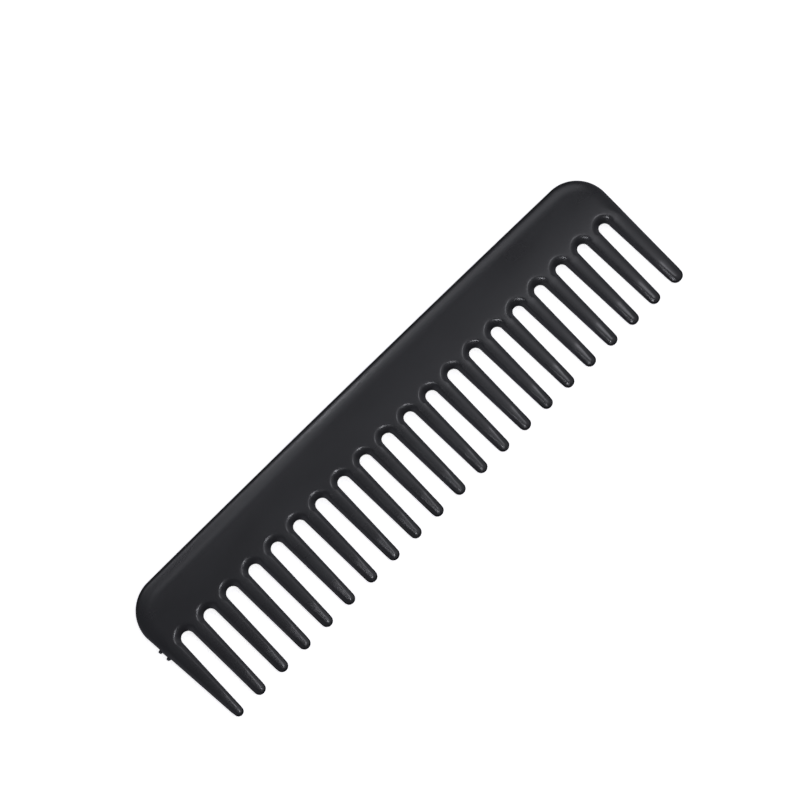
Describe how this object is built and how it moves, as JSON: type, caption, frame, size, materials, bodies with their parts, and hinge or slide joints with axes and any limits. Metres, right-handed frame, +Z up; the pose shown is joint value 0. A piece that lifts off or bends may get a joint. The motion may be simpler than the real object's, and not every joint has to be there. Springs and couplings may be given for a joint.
{
  "type": "wide tooth comb",
  "caption": "Handleless wide tooth comb with a straight round-cornered spine and long blunt tapered teeth, for detangling hair.",
  "frame": {"origin": "under the middle of the comb's outline, on the surface that it lies on", "axes": "+X along the comb, from the end with the gate marks to the other end; +Y towards the back of the spine, so the teeth point to -Y; +Z up through the thickness"},
  "size_m": [0.1911, 0.0472, 0.0042],
  "materials": {
    "black_plastic": "satin injection-moulded black plastic with a soft sheen, a faint flow texture and slightly polished edges"
  },
  "bodies": {
    "root": {"spine": "black_plastic", "tooth_01": "black_plastic", "tooth_02": "black_plastic", "tooth_03": "black_plastic", "tooth_04": "black_plastic", "tooth_05": "black_plastic", "tooth_06": "black_plastic", "tooth_07": "black_plastic", "tooth_08": "black_plastic", "tooth_09": "black_plastic", "tooth_10": "black_plastic", "tooth_11": "black_plastic", "tooth_12": "black_plastic", "tooth_13": "black_plastic", "tooth_14": "black_plastic", "tooth_15": "black_plastic", "tooth_16": "black_plastic", "tooth_17": "black_plastic", "tooth_18": "black_plastic", "tooth_19": "black_plastic", "tooth_20": "black_plastic", "tooth_21": "black_plastic"}
  },
  "joints": []
}
